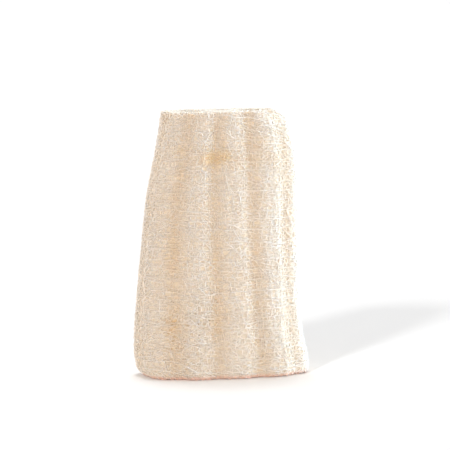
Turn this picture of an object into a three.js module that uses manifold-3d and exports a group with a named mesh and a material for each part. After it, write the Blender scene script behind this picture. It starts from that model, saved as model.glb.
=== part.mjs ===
// A natural loofah sponge: the dried fibre skeleton of a ridged gourd, pressed a little flat and cut
// square at both ends. It stands on its lower cut end. Millimetres, +Z up, the wide face towards -Y.
// The outer wall carries a raised net of fibre strands, drawn larger than life. Three seed channels
// run from end to end round a central core of fibre.
import * as THREE from "three";
import { mergeVertices } from "three/addons/utils/BufferGeometryUtils.js";
import Module from "manifold-3d";

// The outline of the sponge, as [height, distance from the axis] at a few heights.
const HEIGHT = 150;
const LEFT_EDGE = [
  [0, 44.5], [3, 47.9], [9, 49.8], [20, 49.9], [42, 48.3], [70, 46.7], [98, 43.2], [127, 37.5], [150, 34],
];
const RIGHT_EDGE = [
  [0, 47.8], [3, 49], [10, 48.6], [24, 45.6], [45, 43.9], [98, 43.2], [115, 42.6], [128, 40.4], [140, 37.4],
  [146, 34.8], [150, 30],
];
const HALF_DEPTH = [
  [0, 21.6], [4, 23], [40, 22.6], [98, 21], [140, 19.4], [146, 19], [150, 18],
];
const SQUARENESS = 2.5; // exponent of the section: 2 is an ellipse, and more is squarer
const TOP_CUT_TILT = 0.6; // degrees, lower on the left

// The long ribs of the gourd, with narrow furrows between them.
const RIBS = 10;
const FURROW_PLACE = 0.02; // share of the way round from +X to the first furrow
const FURROW_DEPTH = 1.9;
const FURROW_DRIFT = 0.45; // radians of a rib's own turn that a furrow wanders
const DENT = 0.3; // slow dents of the dried wall

// The raised net of strands: lying cells with a pointed end left and right.
const CELL_COLUMNS = 24; // round the sponge, an even number
const CELL_ROWS = 36;
const NET_OVERHANG = 4; // the net is made past both ends, and cut off with them
const STRAND_RISE = [0.2, 0.7]; // the flattest and the proudest knot
const CELL_SINK = [0.7, 1.4]; // the shallowest and the deepest cell
const CELL_FLOOR = 0.42; // length of a cell's low line against the cell
const KNOT_JITTER = [0.4, 0.3]; // share of a lattice step, sideways and upwards

// The seed channels, each an oval tube that narrows upwards and leans in with the wall.
const CHANNELS = [
  { name: "left", base: [-25.5, 0.5], top: [-18.5, 0.5], radii: [12.6, 10.4] },
  { name: "right", base: [25.2, -0.5], top: [17.5, -0.5], radii: [12.4, 10] },
  { name: "middle", base: [0.4, 6.6], top: [-0.6, 5.2], radii: [7.6, 6.2] },
];
const CHANNEL_NARROWING = 0.76; // size at the top cut against the size at the base
const CHANNEL_SIDES = 14;
const CHANNEL_STEPS = 12;
const CHANNEL_RIPPLE = 0.05; // share of the radius that the wall wanders

// The open pores on the two cut ends.
const PORE_RINGS = [[0.9, 30], [0.78, 22], [0.28, 7]]; // share of the section, and how many
const PORE_SCATTER = [0.6, 0.06]; // share of a step along the ring, and share of the section inwards
const PORE_RADII = [0.8, 1.5];
const PORE_TAPER = 0.33; // radius at the bottom against the mouth
const PORE_DEPTH = 2.2;
const PORE_SIDES = 5;
const PORE_CLEARANCE = 1.25; // size of the ring kept round a channel, against the channel

const CUTTER = 200; // side of the blocks that trim the ends
const FULL_TURN = 2 * Math.PI;

const wasm = await Module();
wasm.setup();

// A number from 0 to 1 that is always the same for the same three whole numbers.
function draw(a, b, salt) {
  let mixed = (a * 374761393 + b * 668265263 + salt * 1442695041) | 0;
  mixed = Math.imul(mixed ^ (mixed >>> 13), 1274126177);
  mixed = Math.imul(mixed ^ (mixed >>> 16), 2246822519);
  return ((mixed ^ (mixed >>> 15)) >>> 0) / 4294967296;
}

const drawBetween = ([low, high], a, b, salt) => low + (high - low) * draw(a, b, salt);

// The value at height z on a smooth line through [height, value] pairs.
function along(line, z) {
  const at = THREE.MathUtils.clamp(z, line[0][0], line[line.length - 1][0]);
  const next = Math.max(1, line.findIndex(([height]) => height >= at));
  const slope = (i) => {
    const low = line[Math.max(0, i - 1)];
    const high = line[Math.min(line.length - 1, i + 1)];
    return (high[1] - low[1]) / (high[0] - low[0]);
  };
  const [lowHeight, lowValue] = line[next - 1];
  const [highHeight, highValue] = line[next];
  const span = highHeight - lowHeight;
  const t = (at - lowHeight) / span;
  const hump = t * (1 - t) * span;
  const straight = lowValue + (highValue - lowValue) * t * t * (3 - 2 * t);
  return straight + hump * ((1 - t) * slope(next - 1) - t * slope(next));
}

// A point on the plain section at height z, at an angle counted from +X.
function sectionPoint(angle, z) {
  const round = (v) => Math.sign(v) * Math.abs(v) ** (2 / SQUARENESS);
  const edge = Math.cos(angle) < 0 ? LEFT_EDGE : RIGHT_EDGE;
  return new THREE.Vector2(
    along(edge, z) * round(Math.cos(angle)),
    along(HALF_DEPTH, z) * round(Math.sin(angle)),
  );
}

// The angles at even steps of length round the section at half height.
const EVEN_STEPS = 720;
const evenAngles = (() => {
  const fine = EVEN_STEPS * 4;
  const lengths = [0];
  for (let i = 1; i <= fine; i++) {
    const from = sectionPoint((FULL_TURN * (i - 1)) / fine, HEIGHT / 2);
    const to = sectionPoint((FULL_TURN * i) / fine, HEIGHT / 2);
    lengths.push(lengths[i - 1] + from.distanceTo(to));
  }
  const angles = [];
  for (let step = 0, i = 0; step <= EVEN_STEPS; step++) {
    while (i < fine && lengths[i] < (lengths[fine] * step) / EVEN_STEPS) i++;
    angles.push((FULL_TURN * i) / fine);
  }
  return angles;
})();

// The angle at share u of the way round, where 0 and 1 are both at +X.
function angleAt(u) {
  const turns = Math.floor(u);
  const step = (u - turns) * EVEN_STEPS;
  const low = Math.floor(step);
  const angle = THREE.MathUtils.lerp(evenAngles[low], evenAngles[Math.min(low + 1, EVEN_STEPS)], step - low);
  return angle + turns * FULL_TURN;
}

// How far the ribs and the slow dents of the dried wall move the skin, in or out.
function swell(u, z) {
  const drift = FURROW_DRIFT * Math.sin(z / 31 + 2.2 * Math.sin(FULL_TURN * u));
  const furrow = (0.5 + 0.5 * Math.cos(RIBS * FULL_TURN * (u - FURROW_PLACE) + drift)) ** 2;
  const dents = Math.sin(z / 17 + FULL_TURN * 2 * u) + Math.sin(z / 11 - FULL_TURN * 3 * u + 1);
  return DENT * dents - FURROW_DEPTH * furrow;
}

// A point that stands out from the wall by rise, at share u of the way round and height z.
const SIDESTEP = 0.004; // share of the way round, to feel the wall's direction
function skinPoint(u, z, rise) {
  const here = sectionPoint(angleAt(u), z);
  const onward = sectionPoint(angleAt(u + SIDESTEP), z).sub(sectionPoint(angleAt(u - SIDESTEP), z));
  const out = new THREE.Vector2(onward.y, -onward.x).normalize();
  here.addScaledVector(out, swell(u, z) + rise);
  return [here.x, here.y, z];
}

// A knot where three strands of the net meet. p counts half cells round the sponge, and q upwards.
function knot(p, q) {
  const round = 3 * CELL_COLUMNS;
  const column = ((p % round) + round) % round;
  const u = (column + KNOT_JITTER[0] * (2 * draw(column, q, 1) - 1)) / round;
  const step = (HEIGHT + 2 * NET_OVERHANG) / (2 * CELL_ROWS);
  const z = (q + KNOT_JITTER[1] * (2 * draw(column, q, 2) - 1)) * step - NET_OVERHANG;
  return { u, z, rise: drawBetween(STRAND_RISE, column, q, 3) };
}

// One cell of the net: its rim of six knots, and the low line that runs between them.
function cellTriangles(column, row) {
  const p = 3 * column;
  const q = 2 * row + (column % 2) + 1;
  const rim = [[-2, 0], [-1, -1], [1, -1], [2, 0], [1, 1], [-1, 1]].map(([dp, dq]) => {
    const made = knot(p + dp, q + dq);
    const turn = Math.round((p + dp) / (3 * CELL_COLUMNS) - made.u); // the seam at u = 0
    return { ...made, u: made.u + turn };
  });
  const middle = {
    u: rim.reduce((sum, k) => sum + k.u, 0) / rim.length,
    z: rim.reduce((sum, k) => sum + k.z, 0) / rim.length,
  };
  const sink = -drawBetween(CELL_SINK, column, row, 4);
  const floorPoint = ({ u, z }) =>
    skinPoint(
      THREE.MathUtils.lerp(middle.u, u, CELL_FLOOR),
      THREE.MathUtils.lerp(middle.z, z, CELL_FLOOR),
      sink,
    );
  const [left, lowerLeft, lowerRight, right, upperRight, upperLeft] = rim.map(({ u, z, rise }) =>
    skinPoint(u, z, rise),
  );
  const lowLeft = floorPoint(rim[0]);
  const lowRight = floorPoint(rim[3]);
  return [
    [left, lowerLeft, lowLeft],
    [lowerLeft, lowerRight, lowRight],
    [lowerLeft, lowRight, lowLeft],
    [lowerRight, right, lowRight],
    [right, upperRight, lowRight],
    [upperRight, upperLeft, lowLeft],
    [upperRight, lowLeft, lowRight],
    [upperLeft, left, lowLeft],
  ];
}

// The fan that closes the net at its lower or upper edge.
function lidTriangles(isTop) {
  const shift = isTop ? 2 * CELL_ROWS : 0;
  const edge = [];
  for (let column = 0; column < CELL_COLUMNS; column += 2) {
    for (const [dp, dq] of [[-1, 0], [1, 0], [2, 1], [4, 1]]) edge.push(knot(3 * column + dp, shift + dq));
  }
  const rim = edge.map(({ u, z, rise }) => skinPoint(u, z, rise));
  const hub = [0, 0, isTop ? HEIGHT + NET_OVERHANG : -NET_OVERHANG];
  return rim.map((point, i) => {
    const next = rim[(i + 1) % rim.length];
    return isTop ? [hub, point, next] : [hub, next, point];
  });
}

// A three.js geometry as a solid that can be cut.
function toSolid(geometry) {
  const plain = geometry.index ? geometry.toNonIndexed() : geometry.clone();
  plain.deleteAttribute("normal");
  plain.deleteAttribute("uv");
  const merged = mergeVertices(plain, 1e-3);
  return new wasm.Manifold(
    new wasm.Mesh({
      numProp: 3,
      vertProperties: merged.attributes.position.array,
      triVerts: new Uint32Array(merged.index.array),
    }),
  );
}

// The outer wall with its ribs and raised net, a little longer than the sponge at both ends.
function wallSolid() {
  const triangles = [...lidTriangles(false), ...lidTriangles(true)];
  for (let column = 0; column < CELL_COLUMNS; column++) {
    for (let row = 0; row < CELL_ROWS; row++) triangles.push(...cellTriangles(column, row));
  }
  const positions = new Float32Array(triangles.flat(2));
  return toSolid(
    new THREE.BufferGeometry().setAttribute("position", new THREE.BufferAttribute(positions, 3)),
  );
}

// The middle and the radii of a channel at height z.
function channelAt({ base, top, radii }, z) {
  const share = z / HEIGHT;
  const size = THREE.MathUtils.lerp(1, CHANNEL_NARROWING, share);
  return {
    x: THREE.MathUtils.lerp(base[0], top[0], share),
    y: THREE.MathUtils.lerp(base[1], top[1], share),
    rx: radii[0] * size,
    ry: radii[1] * size,
  };
}

// A seed channel as the solid that is cut away, with a wall that wanders along its strands.
function channelSolid(channel, index) {
  const length = HEIGHT + 2 * NET_OVERHANG;
  const tube = new THREE.CylinderGeometry(1, 1, length, CHANNEL_SIDES, CHANNEL_STEPS).rotateX(Math.PI / 2);
  const position = tube.attributes.position;
  for (let i = 0; i < position.count; i++) {
    const z = position.getZ(i) + HEIGHT / 2;
    const { x, y, rx, ry } = channelAt(channel, z);
    const side = Math.atan2(position.getY(i), position.getX(i));
    const ripple = Math.sin(3 * side + z / 23 + index) + Math.sin(5 * side - z / 13);
    const grow = 1 + CHANNEL_RIPPLE * ripple;
    position.setXYZ(i, x + rx * grow * position.getX(i), y + ry * grow * position.getY(i), z);
  }
  return toSolid(tube);
}

// Whether a place on a cut end lies in a channel or close beside it.
function nearChannel(x, y, z) {
  return CHANNELS.some((channel) => {
    const at = channelAt(channel, z);
    return Math.hypot((x - at.x) / at.rx, (y - at.y) / at.ry) < PORE_CLEARANCE;
  });
}

// The open pores on the cut end at height z, as small tapered plugs that are cut away.
function poreSolids(z) {
  const plugs = [];
  PORE_RINGS.forEach(([share, count], ring) => {
    for (let i = 0; i < count; i++) {
      const salt = ring * 100 + (z > 0 ? 50 : 0);
      const edge = sectionPoint(angleAt((i + PORE_SCATTER[0] * draw(i, salt, 5)) / count), z);
      const shift = share - PORE_SCATTER[1] * draw(i, salt, 6);
      const radius = drawBetween(PORE_RADII, i, salt, 7);
      if (nearChannel(edge.x * shift, edge.y * shift, z)) continue;
      const plug = new THREE.CylinderGeometry(radius, PORE_TAPER * radius, 2 * PORE_DEPTH, PORE_SIDES)
        .rotateX(z > 0 ? Math.PI / 2 : -Math.PI / 2)
        .rotateZ(FULL_TURN * draw(i, salt, 8))
        .translate(edge.x * shift, edge.y * shift, z);
      plugs.push(toSolid(plug));
    }
  });
  return plugs;
}

// The blocks that trim the wall, square at the base and a little aslant at the top.
function endCutters() {
  const below = new THREE.BoxGeometry(CUTTER, CUTTER, CUTTER).translate(0, 0, -CUTTER / 2);
  const above = new THREE.BoxGeometry(CUTTER, CUTTER, CUTTER)
    .translate(0, 0, CUTTER / 2)
    .rotateY(THREE.MathUtils.degToRad(-TOP_CUT_TILT))
    .translate(along(RIGHT_EDGE, HEIGHT), 0, HEIGHT);
  return [toSolid(below), toSolid(above)];
}

function loofahGeometry() {
  const cuts = [...endCutters(), ...CHANNELS.map(channelSolid), ...poreSolids(0), ...poreSolids(HEIGHT)];
  const sponge = cuts.reduce((solid, cut) => solid.subtract(cut), wallSolid());
  const { vertProperties, triVerts } = sponge.getMesh();
  const geometry = new THREE.BufferGeometry()
    .setAttribute("position", new THREE.BufferAttribute(vertProperties, 3))
    .setIndex(new THREE.BufferAttribute(triVerts, 1));
  geometry.computeVertexNormals();
  return geometry;
}

const fibre = new THREE.MeshStandardMaterial({ color: 0xe8d6bd, roughness: 0.85, metalness: 0 });

const sponge = new THREE.Mesh(loofahGeometry(), fibre);
sponge.name = "loofah_sponge";

// The origin lies on the base plane, under the middle of the sponge's box.
sponge.geometry.computeBoundingBox();
const middle = sponge.geometry.boundingBox.getCenter(new THREE.Vector3());
sponge.position.set(-middle.x, -middle.y, 0);

const loofah = new THREE.Group();
loofah.add(sponge);

export default loofah;
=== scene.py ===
import math

import bmesh
import bpy
import numpy as np
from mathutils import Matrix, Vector
from mathutils.geometry import delaunay_2d_cdt


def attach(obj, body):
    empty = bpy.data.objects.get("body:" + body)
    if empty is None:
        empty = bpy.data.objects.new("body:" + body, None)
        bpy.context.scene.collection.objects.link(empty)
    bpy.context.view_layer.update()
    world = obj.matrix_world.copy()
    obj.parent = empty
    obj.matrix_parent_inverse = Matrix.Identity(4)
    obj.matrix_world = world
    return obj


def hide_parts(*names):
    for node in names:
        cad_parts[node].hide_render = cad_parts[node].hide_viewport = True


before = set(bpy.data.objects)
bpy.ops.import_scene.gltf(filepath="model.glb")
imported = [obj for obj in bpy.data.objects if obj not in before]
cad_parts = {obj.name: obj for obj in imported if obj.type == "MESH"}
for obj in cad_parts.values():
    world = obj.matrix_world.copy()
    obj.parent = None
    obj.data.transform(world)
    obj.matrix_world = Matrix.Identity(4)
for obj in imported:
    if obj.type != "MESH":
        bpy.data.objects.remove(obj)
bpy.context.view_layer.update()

# The fruit wall. The sponge is the fibre skeleton of a ridged gourd, pressed a little flat, with the
# peel, the pulp and the seeds washed out. Its outline, its ten ribs and its slow dents are given here,
# and every mat and net of fibre below is laid on this wall.
mm = 0.001
height = 150 * mm
girth = 242 * mm
left_edge = [
    (0, 44.5), (3, 47.9), (9, 49.8), (20, 49.9), (42, 48.3), (70, 46.7), (98, 43.2), (127, 37.5), (150, 34),
]
right_edge = [
    (0, 47.8), (3, 49), (10, 48.6), (24, 45.6), (45, 43.9), (98, 43.2), (115, 42.6), (128, 40.4),
    (140, 37.4), (146, 34.8), (150, 30),
]
half_depth = [(0, 21.6), (4, 23), (40, 22.6), (98, 21), (140, 19.4), (146, 19), (150, 18)]
squareness = 2.5
ribs = 10
furrow_place = 0.02
furrow_depth = 1.9 * mm
furrow_drift = 0.45
drift_length = 31 * mm
drift_twist = 2.2
dent = 0.3 * mm
dent_lengths = (17 * mm, 11 * mm)
top_cut_slope = math.tan(math.radians(0.6))
box_shift = np.array([0.3, 0.15, 0]) * mm  # from the axis to the middle of the sponge's box
furrow_softness = 0.7
stain_tone = 2.3
stains = [  # share of the way round, height, half width, half height and strength
    (0.696, 125 * mm, 7.5 * mm, 4.4 * mm, 0.65),
    (0.748, 126 * mm, 5 * mm, 3.6 * mm, 0.55),
    (0.741, 134 * mm, 2.4 * mm, 8 * mm, 0.45),
    (0.725, 122 * mm, 22 * mm, 4 * mm, 0.42),
    (0.595, 128 * mm, 4.5 * mm, 2.4 * mm, 0.45),
    (0.85, 132 * mm, 4 * mm, 6.5 * mm, 0.45),
    (0.875, 122 * mm, 7 * mm, 4 * mm, 0.4),
    (0.615, 30 * mm, 6 * mm, 8 * mm, 0.4),
    (0.722, 33 * mm, 3.4 * mm, 9 * mm, 0.3),
    (0.612, 73 * mm, 5 * mm, 12 * mm, 0.3),
    (0.722, 68 * mm, 3.4 * mm, 8 * mm, 0.25),
    (0.20, 88 * mm, 8 * mm, 14 * mm, 0.4),
    (0.38, 40 * mm, 6 * mm, 10 * mm, 0.35),
]
open_patches = [  # the same, where the felt is open and full of holes
    (0.645, 24 * mm, 15 * mm, 19 * mm, 1.4),
    (0.70, 38 * mm, 9 * mm, 14 * mm, 0.9),
    (0.66, 76 * mm, 10 * mm, 12 * mm, 0.5),
    (0.845, 22 * mm, 7 * mm, 14 * mm, 0.8),
    (0.13, 60 * mm, 20 * mm, 25 * mm, 0.7),
    (0.33, 105 * mm, 18 * mm, 18 * mm, 0.6),
]


def smooth_line(knots, z):
    """The value at height z on a smooth line through (height, value) pairs given in millimetres."""
    heights, values = np.array(knots, float).T * mm
    slopes = np.empty_like(values)
    slopes[1:-1] = (values[2:] - values[:-2]) / (heights[2:] - heights[:-2])
    slopes[0] = (values[1] - values[0]) / (heights[1] - heights[0])
    slopes[-1] = (values[-1] - values[-2]) / (heights[-1] - heights[-2])
    z = np.clip(z, heights[0], heights[-1])
    after = np.clip(np.searchsorted(heights, z), 1, len(heights) - 1)
    before = after - 1
    span = heights[after] - heights[before]
    t = (z - heights[before]) / span
    straight = values[before] + (values[after] - values[before]) * t * t * (3 - 2 * t)
    return straight + t * (1 - t) * span * ((1 - t) * slopes[before] - t * slopes[after])


def section_point(angle, z):
    """A point of the plain section at height z, at an angle counted from +X."""
    across = np.cos(angle)
    through = np.sin(angle)
    half_width = np.where(across < 0, smooth_line(left_edge, z), smooth_line(right_edge, z))
    x = half_width * np.sign(across) * np.abs(across) ** (2 / squareness)
    y = smooth_line(half_depth, z) * np.sign(through) * np.abs(through) ** (2 / squareness)
    return np.stack([x, y], -1)


fine_steps = 2880
fine_angles = np.linspace(0, math.tau, fine_steps + 1)
fine_ring = section_point(fine_angles, np.full(fine_steps + 1, height / 2))
fine_lengths = np.concatenate([[0], np.cumsum(np.hypot(*np.diff(fine_ring, axis=0).T))])
fine_lengths /= fine_lengths[-1]


def angle_at(u):
    """The angle at share u of the way round, in even steps of length."""
    turns = np.floor(u)
    return np.interp(u - turns, fine_lengths, fine_angles) + turns * math.tau


def furrow(u, z):
    """How deep in a furrow between two ribs a place of the wall lies, from 0 to 1."""
    drift = furrow_drift * np.sin(z / drift_length + drift_twist * np.sin(math.tau * u))
    return (0.5 + 0.5 * np.cos(ribs * math.tau * (u - furrow_place) + drift)) ** 2


def swell(u, z):
    """How far the ribs and the slow dents move the wall, in or out."""
    long_dent = np.sin(z / dent_lengths[0] + math.tau * 2 * u)
    short_dent = np.sin(z / dent_lengths[1] - math.tau * 3 * u + 1)
    return dent * (long_dent + short_dent) - furrow_depth * furrow(u, z)


def spread(spots, u, z):
    """How strong a list of soft spots is at a place of the wall, from 0 to about 1."""
    total = np.zeros(np.shape(u))
    for place, level, wide, tall, strength in spots:
        total += strength * np.exp(-(((u - place) * girth / wide) ** 2) - ((z - level) / tall) ** 2)
    return total


def ochre(u, z):
    """How far the fibre has yellowed: 0 on a rib, about 1 in a furrow and 2 in a stain."""
    stained = np.clip(spread(stains, u, z), 0, 1)
    return furrow(u, z) ** furrow_softness * (1 - stained) + stain_tone * stained


def wall_point(u, z, rise):
    """Points that stand out from the wall by rise, and the directions out of it."""
    sidestep = 0.004
    here = section_point(angle_at(u), z)
    onward = section_point(angle_at(u + sidestep), z) - section_point(angle_at(u - sidestep), z)
    out = np.stack([onward[..., 1], -onward[..., 0]], -1)
    out /= np.linalg.norm(out, axis=-1, keepdims=True)
    here = here + out * (swell(u, z) + rise)[..., None]
    return np.concatenate([here, z[..., None]], -1), np.concatenate([out, 0 * z[..., None]], -1)


def depth_under_wall(x, y, z):
    """About how deep under the ribbed wall a place lies: less than nothing outside it."""
    half_width = np.where(x < 0, smooth_line(left_edge, z), smooth_line(right_edge, z))
    half_through = smooth_line(half_depth, z)
    across = np.abs(x / half_width)
    through = np.abs(y / half_through)
    share = (across ** squareness + through ** squareness) ** (1 / squareness) + 1e-9
    steep_x = (across / share) ** (squareness - 1) / half_width
    steep_y = (through / share) ** (squareness - 1) / half_through
    turn = np.arctan2(np.sign(y) * through ** (squareness / 2), np.sign(x) * across ** (squareness / 2))
    u = np.interp(turn % math.tau, fine_angles, fine_lengths)
    return (1 - share) / np.hypot(steep_x, steep_y) + swell(u, z)


def top_cut(x):
    """The height of the slightly slanting top cut at x."""
    return height + (x - smooth_line(right_edge, height)) * top_cut_slope


# The three seed channels. Each is an oval passage from end to end where the seeds lay, walled with the
# same matted fibre. They narrow upwards and lean in with the sides.
channels = [  # the middle of each at the two ends, and how far it reaches across and through, in mm
    {"base": (-25.5, 0.5), "top": (-18.5, 0.5), "radii": (12.6, 10.4)},
    {"base": (25.2, -0.5), "top": (17.5, -0.5), "radii": (12.4, 10)},
    {"base": (0.4, 6.6), "top": (-0.6, 5.2), "radii": (7.6, 6.2)},
]
channel_narrowing = 0.76
channel_ripple = 0.05
ripple_lengths = (23 * mm, 13 * mm)


def channel_middle(number, z):
    """The middle of a channel at height z."""
    base = channels[number]["base"]
    top = channels[number]["top"]
    return [(base[axis] + (top[axis] - base[axis]) * z / height) * mm for axis in (0, 1)]


def channel_reach(number, side, z):
    """How far a channel's rippled wall lies from its middle, along x and along y, at an angle round it."""
    ripple = np.sin(3 * side + z / ripple_lengths[0] + number) + np.sin(5 * side - z / ripple_lengths[1])
    size = 1 + (channel_narrowing - 1) * z / height
    return [radius * mm * size * (1 + channel_ripple * ripple) for radius in channels[number]["radii"]]


def channel_point(number, side, z, inset):
    """Points on the wall of a channel, moved towards its middle by inset, and the directions inwards."""
    middle = channel_middle(number, z)
    reach = channel_reach(number, side, z)
    x = middle[0] + (reach[0] - inset) * np.cos(side)
    y = middle[1] + (reach[1] - inset) * np.sin(side)
    return np.stack([x, y, z], -1), np.stack([-np.cos(side), -np.sin(side), 0 * z], -1)


def in_channel(x, y, z, spare):
    """Whether a place lies in a channel or within spare of its wall."""
    found = np.zeros(np.shape(x), bool)
    for number, channel in enumerate(channels):
        middle = channel_middle(number, z)
        across = x - middle[0]
        through = y - middle[1]
        side = np.arctan2(through / channel["radii"][1], across / channel["radii"][0])
        reach = channel_reach(number, side, z)
        found |= np.hypot(across / (reach[0] + spare), through / (reach[1] + spare)) < 1
    return found


# The matted body. Under the nets that show, the wall is a dense felt of finer fibre. Its colour is painted
# darker than the strands' as painted shade for the deep pores between them. It is a closed skin with a
# spongy surface, open along the seed channels, and the knife cut it level at both ends.
body_depth = 0.45 * mm
body_columns = 352
body_rows = 200
body_lump = 0.09 * mm
lump_grain = 1.7 * mm
lump_waves = 14
lump_rates = (0.6, 1.6)  # of the waves, in half turns to a grain
lump_scale = 5  # about twice the waves' usual sum
pit_depth = 1.2 * mm
pit_grain = 1.0 * mm
closed_pits = 0.12
body_top_gap = 1.1 * mm
body_foot_gap = 0.45 * mm
cap_grain = 1.25 * mm
cap_edge = 0.6 * mm
cap_sink = 1.6 * mm
cap_scatter = 0.35
cap_tones = (0.5, 1.0)
cap_seed = 11
cap_sink_seed = 21
channel_columns = 56
channel_rows = 80
channel_lump = 0.3 * mm
channel_grain = 1.9 * mm
# the felt's two colours are painted darker than the strands': painted shade down in the pores
felt_pale_shaded = (213, 200, 182)
felt_ochre_shaded = (208, 186, 157)
stain_colour = (228, 196, 148)
speck_colour = (247, 236, 221)
# a band of painted warm light along the lowest few millimetres of every piece
foot_warm_light_colour = (238, 188, 160)
foot_warm_light_band = (0.6 * mm, 2.6 * mm)
see_into = 3 * mm  # how far light wanders inside the fibre
map_start = np.array([0.04, 0.02])
map_span = np.array([0.92, 0.96])
end_map_size = 110 * mm
channel_map = (0.1, 0.8)  # its start and its span


def srgb(red, green, blue):
    """A colour given as a screen shows it, from 0 to 255, in the linear values that a shader takes."""
    parts = [value / 255 for value in (red, green, blue)]
    return tuple(p / 12.92 if p <= 0.04045 else ((p + 0.055) / 1.055) ** 2.4 for p in parts) + (1.0,)


def lumps(points, grain, seed):
    """A soft random height from -1 to 1 at each point, in lumps about one grain across."""
    rng = np.random.default_rng(seed)
    total = np.zeros(len(points))
    for _ in range(lump_waves):
        way = rng.normal(size=3)
        way *= rng.uniform(*lump_rates) / (grain * np.linalg.norm(way))
        total += np.sin(points @ way * math.pi + rng.uniform(0, math.tau))
    return np.clip(total / lump_scale, -1, 1)


def new_piece(name, points, faces, tones, places):
    """A mesh object in the frame, with a tone for each point and the map that its finish is baked on."""
    mesh = bpy.data.meshes.new(name)
    mesh.from_pydata((points + box_shift).tolist(), [], faces)
    mesh.update()
    tone = mesh.attributes.new("tone", "FLOAT", "POINT")
    tone.data.foreach_set("value", np.asarray(tones, np.float32))
    corner_points = np.empty(len(mesh.loops), np.int32)
    mesh.loops.foreach_get("vertex_index", corner_points)
    baked = mesh.uv_layers.new(name="OFBake")
    baked.data.foreach_set("uv", np.asarray(places, np.float32)[corner_points].ravel())
    piece = bpy.data.objects.new(name, mesh)
    bpy.context.scene.collection.objects.link(piece)
    return piece


def grid_faces(columns, rows, first):
    """Quads of a closed ring of columns, going up rows, with its first point at first."""
    faces = []
    for row in range(rows):
        low = first + row * columns
        high = low + columns
        for column in range(columns):
            onward = (column + 1) % columns
            faces.append((low + column, low + onward, high + onward, high + column))
    return faces


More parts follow.
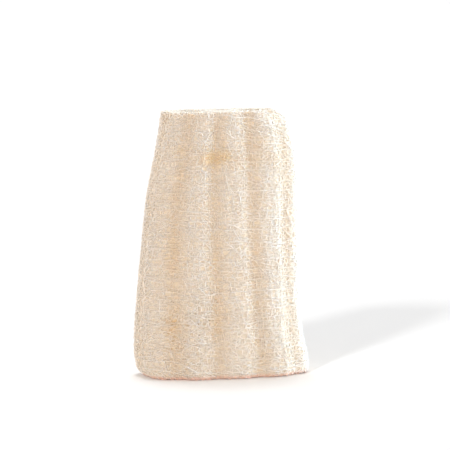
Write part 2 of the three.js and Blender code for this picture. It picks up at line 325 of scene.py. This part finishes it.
def fibre_finish(name, pale, deep, furrowed, mottle, grain, bump):
    """Dried plant fibre: matt, slightly translucent, paler on the ribs, ochre in the furrows, painted warm
    light at the foot.
    """
    material = bpy.data.materials.new(name)
    material.use_nodes = True
    nodes = material.node_tree.nodes
    links = material.node_tree.links
    shader = nodes["Principled BSDF"]
    place = nodes.new("ShaderNodeTexCoord")
    tone = nodes.new("ShaderNodeAttribute")
    tone.attribute_name = "tone"
    clouds = nodes.new("ShaderNodeTexNoise")
    clouds.inputs["Scale"].default_value = 55
    clouds.inputs["Detail"].default_value = 3
    streaks = nodes.new("ShaderNodeTexNoise")
    streaks.inputs["Scale"].default_value = 420
    streaks.inputs["Detail"].default_value = 4
    stretch = nodes.new("ShaderNodeMapping")
    stretch.inputs["Scale"].default_value = (0.5, 0.5, 1.6)
    yellowed = nodes.new("ShaderNodeMath")
    yellowed.operation = "MULTIPLY_ADD"
    yellowed.inputs[1].default_value = furrowed
    cloudy = nodes.new("ShaderNodeMapRange")
    cloudy.inputs["From Min"].default_value = 0.42
    cloudy.inputs["From Max"].default_value = 0.72
    cloudy.inputs["To Max"].default_value = mottle
    ground = nodes.new("ShaderNodeMix")
    ground.data_type = "RGBA"
    ground.inputs["A"].default_value = srgb(*pale)
    ground.inputs["B"].default_value = srgb(*deep)
    speck = nodes.new("ShaderNodeMix")
    speck.data_type = "RGBA"
    speck.blend_type = "MULTIPLY"
    speck.inputs["B"].default_value = srgb(*speck_colour)
    links.new(place.outputs["Object"], clouds.inputs["Vector"])
    links.new(place.outputs["Object"], stretch.inputs["Vector"])
    links.new(stretch.outputs["Vector"], streaks.inputs["Vector"])
    links.new(clouds.outputs["Fac"], cloudy.inputs["Value"])
    links.new(tone.outputs["Fac"], yellowed.inputs[0])
    links.new(cloudy.outputs["Result"], yellowed.inputs[2])
    links.new(yellowed.outputs["Value"], ground.inputs["Factor"])
    links.new(streaks.outputs["Fac"], speck.inputs["Factor"])
    stained = nodes.new("ShaderNodeMapRange")
    stained.inputs["From Min"].default_value = 1.1
    stained.inputs["From Max"].default_value = 2.5
    stained.inputs["To Max"].default_value = 0.8
    stain_tint = nodes.new("ShaderNodeMix")
    stain_tint.data_type = "RGBA"
    stain_tint.inputs["B"].default_value = srgb(*stain_colour)
    links.new(tone.outputs["Fac"], stained.inputs["Value"])
    links.new(stained.outputs["Result"], stain_tint.inputs["Factor"])
    links.new(ground.outputs["Result"], stain_tint.inputs["A"])
    links.new(stain_tint.outputs["Result"], speck.inputs["A"])
    level = nodes.new("ShaderNodeSeparateXYZ")
    # Painted warm light at the foot: strongest at the very base, gone by a few millimetres up.
    near_foot = nodes.new("ShaderNodeMapRange")
    near_foot.inputs["From Min"].default_value = foot_warm_light_band[0]
    near_foot.inputs["From Max"].default_value = foot_warm_light_band[1]
    near_foot.inputs["To Min"].default_value = 0.95
    near_foot.inputs["To Max"].default_value = 0.0
    foot_warm_light_tint = nodes.new("ShaderNodeMix")
    foot_warm_light_tint.data_type = "RGBA"
    foot_warm_light_tint.inputs["B"].default_value = srgb(*foot_warm_light_colour)
    links.new(place.outputs["Object"], level.inputs["Vector"])
    links.new(level.outputs["Z"], near_foot.inputs["Value"])
    links.new(near_foot.outputs["Result"], foot_warm_light_tint.inputs["Factor"])
    links.new(speck.outputs["Result"], foot_warm_light_tint.inputs["A"])
    links.new(foot_warm_light_tint.outputs["Result"], shader.inputs["Base Color"])
    fine = nodes.new("ShaderNodeTexNoise")
    fine.inputs["Scale"].default_value = grain
    fine.inputs["Detail"].default_value = 5
    raised = nodes.new("ShaderNodeBump")
    raised.inputs["Strength"].default_value = bump
    raised.inputs["Distance"].default_value = 0.2 * mm
    links.new(stretch.outputs["Vector"], fine.inputs["Vector"])
    links.new(fine.outputs["Fac"], raised.inputs["Height"])
    links.new(raised.outputs["Normal"], shader.inputs["Normal"])
    shader.inputs["Roughness"].default_value = 0.72
    shader.inputs["Specular IOR Level"].default_value = 0.3
    shader.inputs["Sheen Weight"].default_value = 0.25
    shader.inputs["Sheen Roughness"].default_value = 0.5
    shader.inputs["Subsurface Weight"].default_value = 0.6
    shader.inputs["Subsurface Radius"].default_value = (1.0, 0.8, 0.6)
    shader.inputs["Subsurface Scale"].default_value = see_into
    return material


def wall_place(u, z):
    """Where the wall at share u and height z lies on the map that a finish is baked on."""
    return map_start + map_span * np.stack([u, z / height], -1)


def channel_place(side, z):
    """Where the wall of a channel lies on that map."""
    return wall_place(channel_map[0] + channel_map[1] * side / math.tau, z)


def end_place(spots):
    """Where spots of a cut end lie on that map."""
    return 0.5 + spots / end_map_size


def cap_faces(rims, at_top, seed):
    """A spongy cap between the outer rim and the channels' rims: its inner spots, and its triangles."""
    rng = np.random.default_rng(seed)
    outer = rims[0]
    spots = []
    low, high = outer.min(0), outer.max(0)
    for x in np.arange(low[0], high[0], cap_grain):
        for y in np.arange(low[1], high[1], cap_grain):
            spots.append((x, y))
    spots = np.array(spots) + rng.uniform(-cap_scatter, cap_scatter, (len(spots), 2)) * cap_grain
    z = cap_level(at_top, spots[:, 0])
    deep = depth_under_wall(spots[:, 0], spots[:, 1], z) > body_depth + cap_edge
    spots = spots[deep & ~in_channel(spots[:, 0], spots[:, 1], z, cap_edge)]
    flat = np.concatenate([*rims, spots])
    edges = []
    start = 0
    for rim in rims:
        size = len(rim)
        edges.extend((start + k, start + (k + 1) % size) for k in range(size))
        start += size
    sites = [Vector(point) for point in (flat / mm).tolist()]
    inside_rims = 1  # the kind of answer: only the triangles that the rims enclose
    corners, _, faces, origins, _, _ = delaunay_2d_cdt(sites, edges, [], inside_rims, 1e-6)
    middles = np.array([np.mean([corners[k] for k in face], 0) for face in faces]) * mm
    solid = ~in_channel(middles[:, 0], middles[:, 1], cap_level(at_top, middles[:, 0]), 0)
    return spots, [[origins[k][0] for k in face] for face, kept in zip(faces, solid) if kept]


def felt_wall():
    """The felt's outer skin, ring by ring: the points, their tones and their places on the map."""
    u = np.arange(body_columns) / body_columns
    foot = np.full(body_columns, body_foot_gap)
    rim = section_point(angle_at(u), np.full(body_columns, height))
    head = top_cut(rim[:, 0]) - body_top_gap
    rings = []
    for row in range(body_rows + 1):
        z = foot + (head - foot) * row / body_rows
        ring, out = wall_point(u, z, np.full(body_columns, -body_depth))
        hollows = np.clip(lumps(ring, pit_grain, seed=4), 0, 1)
        pit = hollows * (closed_pits + spread(open_patches, u, z))
        if 0 < row < body_rows:
            ring += out * (body_lump * lumps(ring, lump_grain, seed=3) - pit_depth * pit)[:, None]
        # the pits raise the felt's tone as well as sinking it: painted shade, deeper and more ochre down in
        # the hollows
        rings.append((ring, ochre(u, z) + pit, wall_place(u, z)))
    return rings


def felt_channel(number):
    """The felt's skin round one channel, ring by ring, in the same way."""
    side = np.arange(channel_columns) * math.tau / channel_columns
    ceiling = top_cut(channels[number]["top"][0] * mm) - body_top_gap
    rings = []
    for row in range(channel_rows + 1):
        z = np.full(channel_columns, body_foot_gap + (ceiling - body_foot_gap) * row / channel_rows)
        ring, inward = channel_point(number, side, z, np.zeros(channel_columns))
        if 0 < row < channel_rows:
            ring += inward * channel_lump * lumps(ring, channel_grain, seed=7)[:, None]
        rings.append((ring, np.ones(channel_columns), channel_place(side, z)))
    return rings


def cap_level(at_top, x):
    """The height of the felt's cut end at x."""
    return top_cut(x) - body_top_gap if at_top else 0 * x + body_foot_gap


def matted_body():
    """The felt's skin: its outer wall, the walls of the channels and the two spongy ends."""
    rings = []
    faces = []
    rims = {False: [], True: []}
    rim_numbers = {False: [], True: []}
    count = 0
    for skin in [felt_wall()] + [felt_channel(number) for number in range(len(channels))]:
        columns = len(skin[0][0])
        rows = len(skin) - 1
        faces.extend(grid_faces(columns, rows, count))
        for at_top, row in ((False, 0), (True, rows)):
            rims[at_top].append(skin[row][0][:, :2])
            rim_numbers[at_top].append(np.arange(columns) + count + row * columns)
        rings.extend(skin)
        count += columns * (rows + 1)
    for at_top in (False, True):
        spots, triangles = cap_faces(rims[at_top], at_top, cap_seed + at_top)
        rng = np.random.default_rng(cap_sink_seed + at_top)
        sunk = rng.uniform(0, 1, len(spots)) ** 2 * cap_sink
        z = cap_level(at_top, spots[:, 0]) + (-sunk if at_top else sunk)
        tones = rng.uniform(*cap_tones, len(spots))
        rings.append((np.column_stack([spots, z]), tones, end_place(spots)))
        numbers = np.concatenate([*rim_numbers[at_top], np.arange(len(spots)) + count])
        faces.extend(numbers[triangle].tolist() for triangle in triangles)
        count += len(spots)
    points, tones, places = (np.concatenate(values) for values in zip(*rings))
    piece = new_piece("matted_body", points, faces, tones, places)
    work = bmesh.new()
    work.from_mesh(piece.data)
    bmesh.ops.recalc_face_normals(work, faces=work.faces)
    work.to_mesh(piece.data)
    work.free()
    piece.data.polygons.foreach_set("use_smooth", np.ones(len(piece.data.polygons), bool))
    return piece


sponge_pieces = bpy.data.collections.new("sponge_pieces")


def join_sponge(piece):
    """Makes a piece part of the sponge, which it shows in place of the plain solid."""
    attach(piece, "root")
    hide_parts("loofah_sponge")
    sponge_pieces.objects.link(piece)


body = matted_body()
felt = fibre_finish("felt", felt_pale_shaded, felt_ochre_shaded, furrowed=0.5, mottle=0.2, grain=2600, bump=0.3)
body.data.materials.append(felt)
join_sponge(body)

# The outer net. Thin strands of fibre run round the gourd, part and join again, and leave lying cells a
# few millimetres wide. They grew as one web, so each strand ends in the side of another.
outer_cells = (64, 73)  # round the gourd, and from end to end
outer_radius = (0.16 * mm, 0.3 * mm)
outer_rise = (-0.12 * mm, 0.22 * mm)
outer_pale = (244, 232, 217)
outer_deep = (243, 222, 195)
net_wander = 0.42
knot_wander = 0.12
net_lap = 3  # columns seen again beyond each side of a net that wraps
sharpest_turn = -0.35  # of a strand at a knot, as a cosine: -1 is dead straight
strand_sides = 3
tone_spread = 0.2
radius_spread = 0.25
deepest_tone = 2.6
wall_seed_step = 1000  # from a net's own seed to its strands' seed


def fibre_net(columns, rows, cell, wraps, seed):
    """The knots of an uneven net of cells, and its strands as runs of knots."""
    rng = np.random.default_rng(seed)
    row, column = np.mgrid[-1 : rows + 1, 0:columns]
    across = (column + 0.5 * (row % 2) + net_wander * rng.uniform(-1, 1, row.shape)).ravel()
    upward = (row + 0.5 + net_wander * rng.uniform(-1, 1, row.shape)).ravel()
    if wraps:
        near = across < net_lap
        far = across > columns - net_lap
        across = np.concatenate([across, across[near] + columns, across[far] - columns])
        upward = np.concatenate([upward, upward[near], upward[far]])
    sites = [Vector(pair) for pair in zip(across.tolist(), upward.tolist())]
    all_triangles = 0  # the kind of answer
    corners, _, triangles, _, _, _ = delaunay_2d_cdt(sites, [], [], all_triangles, 1e-7)
    corners = np.array([tuple(corner) for corner in corners])
    triangles = np.array(triangles)
    knots = corners[triangles].mean(1)
    knots += knot_wander * rng.uniform(-1, 1, knots.shape)
    sides = np.sort(np.concatenate([triangles[:, [0, 1]], triangles[:, [1, 2]], triangles[:, [2, 0]]]), 1)
    owner = np.tile(np.arange(len(triangles)), 3)
    order = np.lexsort((sides[:, 1], sides[:, 0]))
    sides = sides[order]
    owner = owner[order]
    shared = (sides[1:] == sides[:-1]).all(1)
    links = np.stack([owner[:-1][shared], owner[1:][shared]], 1)
    middle = knots[links].mean(1)
    kept = (middle[:, 1] > -0.5) & (middle[:, 1] < rows + 0.5)
    if wraps:
        kept &= (middle[:, 0] >= 0) & (middle[:, 0] < columns)
    return knots, strands_through(knots * cell, links[kept])


def strands_through(knots, links):
    """Joins links into long strands: at each knot the two that lie straightest become one strand."""
    at_knot = {}
    for number, (a, b) in enumerate(links.tolist()):
        at_knot.setdefault(a, []).append((number, b))
        at_knot.setdefault(b, []).append((number, a))
    onward = {}
    for knot, ends in at_knot.items():
        ways = []
        for number, other in ends:
            way = knots[other] - knots[knot]
            ways.append(way / (np.hypot(*way) + 1e-9))
        best = (sharpest_turn, None)
        for i in range(len(ends)):
            for j in range(i):
                bend = float(ways[i] @ ways[j])
                if bend < best[0]:
                    best = (bend, (i, j))
        if best[1]:
            one, two = (ends[k][0] for k in best[1])
            onward[knot, one] = two
            onward[knot, two] = one
    pairs = links.tolist()
    used = set()
    strands = []
    for number, (a, b) in enumerate(pairs):
        if number in used:
            continue
        used.add(number)
        run = [a, b]
        for turned in (False, True):
            link = number
            while True:
                link = onward.get((run[-1], link))
                if link is None or link in used:
                    break
                used.add(link)
                ends = pairs[link]
                run.append(ends[0] if ends[1] == run[-1] else ends[1])
            if not turned:
                run.reverse()
        strands.append(run)
    return strands


def midway(values):
    """The values with one more between each two, on a smooth curve through them."""
    padded = np.concatenate([2 * values[:1] - values[1:2], values, 2 * values[-1:] - values[-2:-1]])
    between = (9 * (padded[1:-2] + padded[2:-1]) - padded[:-3] - padded[3:]) / 16
    woven = np.empty((2 * len(values) - 1,) + values.shape[1:])
    woven[0::2] = values
    woven[1::2] = between
    return woven


def relaxed(knots, strands, rounds):
    """Pulls the knots along their strands, as dried fibre draws straight."""
    for _ in range(rounds):
        pull = np.zeros_like(knots)
        count = np.zeros(len(knots))
        for run in strands:
            inner = run[1:-1]
            if inner:
                pull[inner] += (knots[run[:-2]] + knots[run[2:]]) / 2 - knots[inner]
                count[inner] += 1
        knots = knots + 0.5 * pull / np.maximum(count, 1)[:, None]
    return knots


def strand_piece(name, runs, finish):
    """One mesh of three-sided strands, each with its points, directions out, radii, tones and places."""
    points = np.concatenate([run["points"] for run in runs])
    out = np.concatenate([run["out"] for run in runs])
    radii = np.concatenate([run["radii"] for run in runs])
    tones = np.concatenate([run["tones"] for run in runs])
    places = np.concatenate([run["places"] for run in runs])
    place_size = map_span / [girth, height]
    along = np.concatenate([np.gradient(run["points"], axis=0) for run in runs])
    along /= np.linalg.norm(along, axis=1, keepdims=True) + 1e-12
    beside = np.cross(along, out)
    beside /= np.linalg.norm(beside, axis=1, keepdims=True) + 1e-12
    proud = np.cross(beside, along)
    east = np.stack([-out[:, 1], out[:, 0]], 1)
    flat_end = np.abs(out[:, 2]) > 0.5
    rings = []
    ring_places = []
    for k in range(strand_sides):
        turn = math.tau * k / strand_sides
        offset = radii[:, None] * (math.cos(turn) * proud + math.sin(turn) * beside)
        rings.append(points + offset)
        moved = np.where(
            flat_end[:, None],
            offset[:, :2] / end_map_size,
            np.stack([(offset[:, :2] * east).sum(1), offset[:, 2]], 1) * place_size,
        )
        ring_places.append(places + moved)
    ring_points = np.stack(rings, 1).reshape(-1, 3)
    faces = []
    start = 0
    for run in runs:
        size = len(run["points"])
        for k in range(size - 1):
            here = strand_sides * (start + k)
            there = here + strand_sides
            faces.append((here, here + 1, there + 1, there))
            faces.append((here + 1, here + 2, there + 2, there + 1))
            faces.append((here + 2, here, there, there + 2))
        first = strand_sides * start
        last = strand_sides * (start + size - 1)
        faces.append((first + 2, first + 1, first))
        faces.append((last, last + 1, last + 2))
        start += size
    ring_places = np.stack(ring_places, 1).reshape(-1, 2)
    piece = new_piece(name, ring_points, faces, np.repeat(tones, strand_sides), ring_places)
    piece.data.materials.append(finish)
    join_sponge(piece)


def unbroken(good):
    """The stretches where good holds, each as a list of two or more places in a row."""
    parts = [[]]
    for place, kept in enumerate(good):
        if kept:
            parts[-1].append(place)
        elif parts[-1]:
            parts.append([])
    return [part for part in parts if len(part) > 1]


def wall_runs(cells, radius, rise, seed, finer, tone):
    """The strands of a net laid on the wall between the two cuts."""
    rng = np.random.default_rng(seed + wall_seed_step)
    columns, rows = cells
    cell = np.array([girth / columns, height / rows])
    knots, strands = fibre_net(columns, rows, cell, wraps=True, seed=seed)
    knots = relaxed(knots, strands, rounds=2)
    knot_rise = rng.uniform(rise[0], rise[1], len(knots))
    runs = []
    for run in strands:
        path = np.column_stack([knots[run], knot_rise[run]])
        for _ in range(finer):
            path = midway(path)
        u = path[:, 0] / columns
        z = path[:, 1] / rows * height
        thick = rng.uniform(radius[0], radius[1])
        shade = tone + tone_spread * rng.normal()
        ceiling = top_cut(section_point(angle_at(u), z)[:, 0]) - thick
        for part in unbroken((z > thick) & (z < ceiling)):
            reach = slice(max(part[0] - 1, 0), part[-1] + 2)
            part_u = u[reach]
            part_z = np.clip(z, thick, ceiling)[reach]
            points, out = wall_point(part_u, part_z, path[reach, 2])
            tones = ochre(part_u, part_z) + shade
            runs.append(
                {
                    "points": points,
                    "out": out,
                    "radii": thick * (1 + radius_spread * rng.uniform(-1, 1, len(part_u))),
                    "tones": np.clip(tones, 0, deepest_tone),
                    "places": wall_place(part_u, part_z),
                    "u": part_u,
                }
            )
    return runs


outer_finish = fibre_finish(
    "outer_fibre", outer_pale, outer_deep, furrowed=0.5, mottle=0.2, grain=5200, bump=0.2
)
outer_runs = wall_runs(outer_cells, outer_radius, outer_rise, seed=5, finer=1, tone=0)
front_runs = [run for run in outer_runs if run["u"].mean() >= 0.5]
back_runs = [run for run in outer_runs if run["u"].mean() < 0.5]
strand_piece("outer_net_front", front_runs, outer_finish)
strand_piece("outer_net_back", back_runs, outer_finish)

# The middle net. A second web with larger cells and thicker strands lies just under the outer one, grown
# into it, and shows through it.
middle_cells = (42, 54)
middle_radius = (0.2 * mm, 0.34 * mm)
middle_rise = (-0.65 * mm, 0.05 * mm)
middle_pale = (241, 228, 213)
middle_deep = (239, 216, 187)
middle_finish = fibre_finish(
    "middle_fibre", middle_pale, middle_deep, furrowed=0.5, mottle=0.2, grain=4200, bump=0.2
)
middle_runs = wall_runs(middle_cells, middle_radius, middle_rise, seed=17, finer=1, tone=0.12)
strand_piece("middle_net", middle_runs, middle_finish)

# The long strands. Thick bundles of fibre run from end to end under the nets. They carry the ribs, and
# they fed the fruit while it grew.
long_cells = (66, 13)
long_radius = (0.28 * mm, 0.48 * mm)
long_rise = (-0.75 * mm, -0.25 * mm)
long_pale = (238, 224, 207)
long_deep = (234, 209, 178)
long_finish = fibre_finish(
    "long_fibre", long_pale, long_deep, furrowed=0.5, mottle=0.2, grain=3600, bump=0.2
)
long_runs = wall_runs(long_cells, long_radius, long_rise, seed=29, finer=2, tone=0.15)
strand_piece("long_strands", long_runs, long_finish)

# The proud strands. A few thicker bundles lie on top of everything and wander round the gourd, where
# they held the peel.
proud_cells = (17, 27)
proud_radius = (0.2 * mm, 0.32 * mm)
proud_rise = (0.0, 0.25 * mm)
proud_runs = wall_runs(proud_cells, proud_radius, proud_rise, seed=41, finer=2, tone=0.1)
strand_piece("proud_strands", proud_runs, outer_finish)

# The cut ends. The knife left the web open there: strands lie in the plane of the cut, and the cut
# ends of the long bundles stand between them.
end_span = (100 * mm, 48 * mm)
end_cell = 2.1 * mm
end_margin = 0.45 * mm
end_dip = 0.3 * mm
upper_radius = (0.16 * mm, 0.3 * mm)
lower_radius = (0.25 * mm, 0.4 * mm)
lower_depth = 0.8 * mm
lower_share = 1.7  # of the upper strands' cells
stub_radius = (0.2 * mm, 0.42 * mm)
stub_foot = 2.6 * mm
stub_top = (0.05 * mm, 0.55 * mm)
stub_lean = 0.25 * mm
end_radius_spread = 0.2
end_tones = (0.1, 0.8)
stub_tones = (0.2, 1.0)
end_seed_step = 2000
end_pale = (243, 233, 217)
end_deep = (228, 206, 174)


def end_runs(at_top, depth, cell, radius, seed):
    """The strands that lie in a cut end, depth below its plane."""
    rng = np.random.default_rng(seed + end_seed_step)
    columns, rows = (int(span / cell) for span in end_span)
    knots, strands = fibre_net(columns, rows, np.array([cell, cell]), wraps=False, seed=seed)
    knots = relaxed(knots, strands, rounds=1)
    x = (knots[:, 0] / columns - 0.5) * end_span[0]
    y = (knots[:, 1] / rows - 0.5) * end_span[1]
    level = np.full(len(x), height if at_top else 0.0)
    good = (depth_under_wall(x, y, level) > end_margin) & ~in_channel(x, y, level, end_margin / 2)
    runs = []
    for run in strands:
        for places in unbroken(good[run]):
            part = [run[place] for place in places]
            path = midway(np.column_stack([x[part], y[part], rng.uniform(-1, 1, len(part))]))
            thick = rng.uniform(*radius)
            dip = depth + thick + end_dip * (1 + path[:, 2])
            z = top_cut(path[:, 0]) - dip if at_top else dip
            out = np.tile([0.0, 0.0, 1.0 if at_top else -1.0], (len(path), 1))
            runs.append(
                {
                    "points": np.column_stack([path[:, :2], z]),
                    "out": out,
                    "radii": thick * (1 + end_radius_spread * rng.uniform(-1, 1, len(path))),
                    "tones": np.full(len(path), rng.uniform(*end_tones)),
                    "places": end_place(path[:, :2]),
                }
            )
    for knot in np.flatnonzero(good)[::2]:
        top = rng.uniform(*stub_top)
        steps = np.array([stub_foot, (top + stub_foot) / 2, top])
        z = top_cut(x[knot]) - steps if at_top else steps
        lean = rng.normal(0, stub_lean, 2)
        place = np.array([x[knot], y[knot]]) + np.outer([0, 0.5, 1], lean)
        side_way = np.tile([1.0, 0.0, 0.0], (3, 1))
        thick = rng.uniform(*stub_radius)
        runs.append(
            {
                "points": np.column_stack([place, z]),
                "out": side_way,
                "radii": np.full(3, thick),
                "tones": np.full(3, rng.uniform(*stub_tones)),
                "places": end_place(place),
            }
        )
    return runs


def both_layers(at_top, seed):
    """The fine strands of a cut end, and the coarser ones that lie under them."""
    upper = end_runs(at_top, 0.0, end_cell, upper_radius, seed)
    return upper + end_runs(at_top, lower_depth, lower_share * end_cell, lower_radius, seed + 1)


end_finish = fibre_finish("cut_fibre", end_pale, end_deep, furrowed=0.6, mottle=0.3, grain=4200, bump=0.3)
strand_piece("top_end_net", both_layers(at_top=True, seed=53), end_finish)
strand_piece("base_end_net", both_layers(at_top=False, seed=57), end_finish)

# The channel linings. The seeds lay in these pockets, and the web round them is an open net of strands
# that run along the channel and across it.
lining_girth = 60 * mm
lining_cells = ((18, 34), (18, 34), (12, 34))
lining_radius = (0.2 * mm, 0.36 * mm)
lining_rise = (0.1 * mm, 0.55 * mm)
lining_tones = (0.1, 0.9)
lining_seed = 61
lining_seed_step = 3000


def channel_runs(number, seed):
    """The strands of the net that lines one channel."""
    rng = np.random.default_rng(seed + lining_seed_step)
    columns, rows = lining_cells[number]
    cell = np.array([lining_girth / columns, height / rows])
    knots, strands = fibre_net(columns, rows, cell, wraps=True, seed=seed)
    knots = relaxed(knots, strands, rounds=2)
    knot_rise = rng.uniform(*lining_rise, len(knots))
    ceiling = top_cut(channels[number]["top"][0] * mm)
    runs = []
    for run in strands:
        path = midway(np.column_stack([knots[run], knot_rise[run]]))
        thick = rng.uniform(*lining_radius)
        level = path[:, 1] / rows * height
        for part in unbroken((level > thick) & (level < ceiling - thick)):
            side = path[part, 0] / columns * math.tau
            z = level[part]
            points, inward = channel_point(number, side, z, path[part, 2])
            runs.append(
                {
                    "points": points,
                    "out": inward,
                    "radii": np.full(len(z), thick),
                    "tones": np.full(len(z), rng.uniform(*lining_tones)),
                    "places": channel_place(side, z),
                }
            )
    return runs


lining_runs = []
for number in range(len(channels)):
    lining_runs += channel_runs(number, lining_seed + number)
# The linings take the cut ends' darker finish: painted shade for the dim inside of the channels.
strand_piece("channel_linings", lining_runs, end_finish)

# The stray fibres. Fine loose ends, torn free when the peel came off and the sponge dried, stand a
# little off the web all round.
stray_count = 320
stray_steps = 7
stray_length = (3 * mm, 8 * mm)
stray_radius = (0.07 * mm, 0.04 * mm)
stray_foot = 0.2 * mm
stray_lift = (0.2 * mm, 0.9 * mm)
stray_heights = (4 * mm, height - 5 * mm)
stray_limits = (1 * mm, height - 2 * mm)
stray_slant = 0.6
stray_bend = 0.8
stray_tones = (0, 0.5)
stray_arc = (0.6, 1.0)  # how far each comes back to the wall: 1 is all the way
map_overrun = 0.03


def stray_runs(seed):
    """Short curved fibres that leave the wall and come back to it."""
    rng = np.random.default_rng(seed)
    runs = []
    for _ in range(stray_count):
        u = rng.uniform(0, 1)
        z = rng.uniform(*stray_heights)
        heading = rng.normal(0, stray_slant) + math.pi * rng.integers(0, 2)
        length = rng.uniform(*stray_length)
        t = np.linspace(0, 1, stray_steps)
        bend = rng.normal(0, stray_bend) * t
        du = np.cumsum(np.cos(heading + bend)) * length / stray_steps / girth
        dz = np.cumsum(np.sin(heading + bend)) * length / stray_steps
        path_z = np.clip(z + dz, *stray_limits)
        lift = stray_foot + rng.uniform(*stray_lift) * np.sin(math.pi * t * rng.uniform(*stray_arc))
        points, out = wall_point(u + du, path_z, lift)
        runs.append(
            {
                "points": points,
                "out": out,
                "radii": np.linspace(*stray_radius, stray_steps),
                "tones": np.full(stray_steps, rng.uniform(*stray_tones)),
                "places": wall_place(np.clip(u + du, -map_overrun, 1 + map_overrun), path_z),
            }
        )
    return runs


strand_piece("stray_fibres", stray_runs(seed=71), outer_finish)

# The sweep. The table and the wall behind it are one white sheet of paper, which lies flat and bends up
# behind the sponge.
sweep_width = 4.0
sweep_front = -1.6
sweep_back = 1.2
sweep_bend = 0.5
sweep_steps = 12
sweep_top = 2.2
paper_white = 0.93


def white_sweep():
    """A sheet that lies flat and bends up at the back, as a photographer's paper does."""
    profile = [(sweep_front, 0.0), (sweep_back, 0.0)]
    for k in range(1, sweep_steps + 1):
        turn = math.pi / 2 * k / sweep_steps
        profile.append((sweep_back + sweep_bend * math.sin(turn), sweep_bend * (1 - math.cos(turn))))
    profile.append((sweep_back + sweep_bend, sweep_top))
    points = [(side * sweep_width / 2, y, z) for y, z in profile for side in (-1, 1)]
    faces = [(2 * k, 2 * k + 1, 2 * k + 3, 2 * k + 2) for k in range(len(profile) - 1)]
    mesh = bpy.data.meshes.new("white_sweep")
    mesh.from_pydata(points, [], faces)
    mesh.polygons.foreach_set("use_smooth", np.ones(len(faces), bool))
    sheet = bpy.data.objects.new("white_sweep", mesh)
    bpy.context.scene.collection.objects.link(sheet)
    paper = bpy.data.materials.new("white_paper")
    paper.use_nodes = True
    shader = paper.node_tree.nodes["Principled BSDF"]
    shader.inputs["Base Color"].default_value = (paper_white, paper_white, paper_white, 1)
    shader.inputs["Roughness"].default_value = 0.9
    mesh.materials.append(paper)
    return sheet


sweep = white_sweep()
sweep_alone = bpy.data.collections.new("sweep_alone")
sweep_alone.objects.link(sweep)

# The light: a white room and four lamps. One overhead, a little behind, leaves a soft shadow at the foot,
# and one far off at the left front gives the paper alone its faint long shadow. Two light the sponge
# alone: a broad one in front, and a strong one at the right, where the narrow flank is nearly white.
room_light = 0.442
sponge_middle = (0, 0, height / 2)


def lamp(name, place, size, power, colour, lights_up):
    """A square soft lamp that faces the sponge's middle, and lights one collection alone or everything."""
    light = bpy.data.lights.new(name, "AREA")
    light.shape = "SQUARE"
    light.size = size
    light.energy = power
    light.color = colour
    lit = bpy.data.objects.new(name, light)
    bpy.context.scene.collection.objects.link(lit)
    lit.location = place
    lit.rotation_euler = (Vector(sponge_middle) - Vector(place)).to_track_quat("-Z", "Y").to_euler()
    lit.light_linking.receiver_collection = lights_up


world = bpy.data.worlds.new("white_room")
world.use_nodes = True
world.node_tree.nodes["Background"].inputs["Color"].default_value = (1, 1, 1, 1)
world.node_tree.nodes["Background"].inputs["Strength"].default_value = room_light
bpy.context.scene.world = world
lamp("overhead_lamp", (0, 0.75, 5), 1.5, 103, (1.0, 1.0, 1.0), None)
lamp("shadow_lamp", (-2.68, -3.5, 2.33), 0.5, 116, (1.0, 1.0, 1.0), sweep_alone)
lamp("front_lamp", (-0.5, -1.45, 0.25), 1.0, 26.2, (0.97, 0.96, 0.98), sponge_pieces)
lamp("flank_lamp", (1.15, -0.12, 0.3), 0.8, 37, (0.54, 0.76, 1.0), sponge_pieces)

# The camera, a little to the left of the front and just above the sponge, with a long lens. It sees all of
# the sponge and the near part of its shadow.
view_azimuth = math.radians(-12)
view_elevation = math.radians(6)
view_distance = 1.3
picture_height = 253.8 * mm  # of the plane through the sponge, from the picture's foot to its head
sensor_width = 36  # in millimetres, as the lens is
aim_point = Vector((2 * mm, 0, 84.6 * mm))
camera_data = bpy.data.cameras.new("camera")
camera = bpy.data.objects.new("camera", camera_data)
bpy.context.scene.collection.objects.link(camera)
way_back = Vector(
    (
        math.sin(view_azimuth) * math.cos(view_elevation),
        -math.cos(view_azimuth) * math.cos(view_elevation),
        math.sin(view_elevation),
    )
)
camera.location = aim_point + way_back * view_distance
camera.rotation_euler = (-way_back).to_track_quat("-Z", "Y").to_euler()
camera_data.sensor_width = sensor_width
camera_data.lens = sensor_width * view_distance / picture_height
camera_data.clip_start = 0.05
bpy.context.scene.camera = camera
bpy.context.scene.view_settings.view_transform = "Standard"
